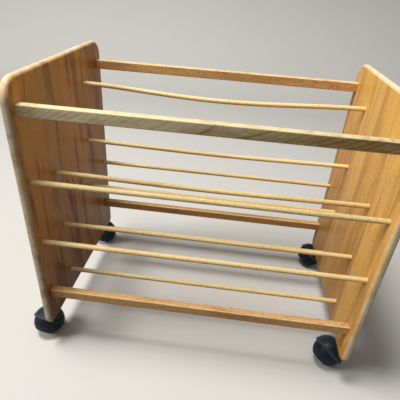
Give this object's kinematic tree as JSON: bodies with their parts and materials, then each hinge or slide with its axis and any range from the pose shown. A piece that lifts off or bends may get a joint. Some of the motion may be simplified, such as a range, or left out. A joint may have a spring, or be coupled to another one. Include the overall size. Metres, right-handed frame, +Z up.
{
  "type": "picture book browser bin",
  "caption": "Open wooden browser bin for picture books: solid sides joined by rails and dowels that form upright pockets, on hooded ball casters.",
  "frame": {"origin": "on the floor, midway between the two side panels and midway between their front and back edges", "axes": "+Z up, +X along the dowels towards the right side panel, -Y towards the front pocket"},
  "size_m": [0.9019, 0.5519, 0.746],
  "materials": {
    "panel_wood": "clear semi-gloss lacquer over edge-glued boards",
    "rail_wood": "clear semi-gloss lacquer, worn on the upper edges",
    "dowel_wood": "clear semi-gloss lacquer",
    "caster_steel": "plated",
    "caster_hood": "satin moulded",
    "caster_wheel": "matt moulded, scuffed on the tread",
    "caster_cap": "satin moulded"
  },
  "bodies": {
    "frame": {"left_side_panel": "panel_wood", "right_side_panel": "panel_wood", "top_front_rail": "rail_wood", "bottom_front_rail": "rail_wood", "top_back_rail": "rail_wood", "bottom_back_rail": "rail_wood", "front_dowel_lower": "dowel_wood", "front_dowel_upper": "dowel_wood", "front_divider_dowel_bottom": "dowel_wood", "front_divider_dowel_lower": "dowel_wood", "front_divider_dowel_upper": "dowel_wood", "front_divider_dowel_top": "dowel_wood", "back_dowel_lower": "dowel_wood", "back_dowel_upper": "dowel_wood", "back_divider_dowel_bottom": "dowel_wood", "back_divider_dowel_lower": "dowel_wood", "back_divider_dowel_upper": "dowel_wood", "back_divider_dowel_top": "dowel_wood", "caster_socket_front_left": "caster_steel", "caster_socket_front_right": "caster_steel", "caster_socket_back_left": "caster_steel", "caster_socket_back_right": "caster_steel"},
    "front_left_swivel": {"caster_stem_front_left": "caster_steel", "caster_hood_front_left": "caster_hood", "caster_axle_front_left": "caster_steel"},
    "front_left_roller": {"caster_wheel_front_left": "caster_wheel", "caster_hub_cap_front_left": "caster_cap"},
    "front_right_swivel": {"caster_stem_front_right": "caster_steel", "caster_hood_front_right": "caster_hood", "caster_axle_front_right": "caster_steel"},
    "front_right_roller": {"caster_wheel_front_right": "caster_wheel", "caster_hub_cap_front_right": "caster_cap"},
    "back_left_swivel": {"caster_stem_back_left": "caster_steel", "caster_hood_back_left": "caster_hood", "caster_axle_back_left": "caster_steel"},
    "back_left_roller": {"caster_wheel_back_left": "caster_wheel", "caster_hub_cap_back_left": "caster_cap"},
    "back_right_swivel": {"caster_stem_back_right": "caster_steel", "caster_hood_back_right": "caster_hood", "caster_axle_back_right": "caster_steel"},
    "back_right_roller": {"caster_wheel_back_right": "caster_wheel", "caster_hub_cap_back_right": "caster_cap"}
  },
  "joints": [
    {"name": "front_left_caster_swivel", "type": "hinge", "parent": "frame", "child": "front_left_swivel", "pos_m": [-0.3965, -0.2145, 0.089], "axis": [0, 0, 1], "continuous": true},
    {"name": "front_left_wheel_roll", "type": "hinge", "parent": "front_left_swivel", "child": "front_left_roller", "pos_m": [-0.42934, -0.2057, 0.04], "axis": [-0.1983, -0.7399, -0.6428], "continuous": true},
    {"name": "front_right_caster_swivel", "type": "hinge", "parent": "frame", "child": "front_right_swivel", "pos_m": [0.3965, -0.2145, 0.089], "axis": [0, 0, 1], "continuous": true},
    {"name": "front_right_wheel_roll", "type": "hinge", "parent": "front_right_swivel", "child": "front_right_roller", "pos_m": [0.37848, -0.18567, 0.04], "axis": [-0.6496, -0.4059, -0.6428], "continuous": true},
    {"name": "back_left_caster_swivel", "type": "hinge", "parent": "frame", "child": "back_left_swivel", "pos_m": [-0.3965, 0.2145, 0.089], "axis": [0, 0, 1], "continuous": true},
    {"name": "back_left_wheel_roll", "type": "hinge", "parent": "back_left_swivel", "child": "back_left_roller", "pos_m": [-0.41246, 0.24452, 0.04], "axis": [-0.6764, -0.3596, -0.6428], "continuous": true},
    {"name": "back_right_caster_swivel", "type": "hinge", "parent": "frame", "child": "back_right_swivel", "pos_m": [0.3965, 0.2145, 0.089], "axis": [0, 0, 1], "continuous": true},
    {"name": "back_right_wheel_roll", "type": "hinge", "parent": "back_right_swivel", "child": "back_right_roller", "pos_m": [0.38599, 0.24684, 0.04], "axis": [-0.7286, -0.2367, -0.6428], "continuous": true}
  ]
}
